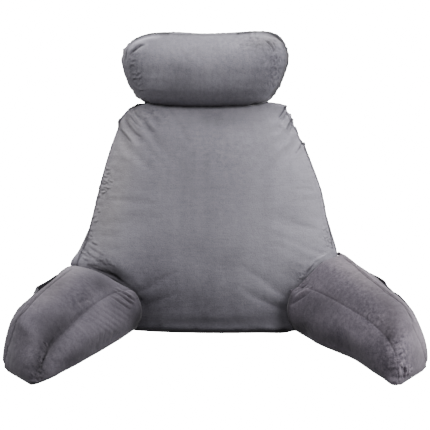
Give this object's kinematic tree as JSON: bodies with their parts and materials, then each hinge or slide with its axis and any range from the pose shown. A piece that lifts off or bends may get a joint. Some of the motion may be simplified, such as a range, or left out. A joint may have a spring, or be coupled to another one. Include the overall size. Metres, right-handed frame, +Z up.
{
  "type": "reading pillow with arms",
  "caption": "Padded upright back cushion with two padded armrests splayed round the lap, a fat neck roll on its top and a patch pocket outside each arm, for sitting up to read.",
  "frame": {"origin": "the middle of the back cushion's flat foot, on the surface it stands on", "axes": "+X to the right as seen from the front, along the overall width; -Y the front, where the sitter's legs go; +Z up"},
  "size_m": [0.7392, 0.5255, 0.543],
  "materials": {
    "grey_velour": "short-pile grey velour, matt, with a pale sheen at grazing angles",
    "arm_velour": "the same velour with its pile lying the other way, a little darker and warmer",
    "pocket_velour": "dark grey velour, single cloth with a turned hem"
  },
  "bodies": {
    "root": {"back_cushion": "grey_velour", "neck_roll": "grey_velour", "arm_left": "arm_velour", "arm_right": "arm_velour", "pocket_left": "pocket_velour", "pocket_right": "pocket_velour"}
  },
  "joints": []
}
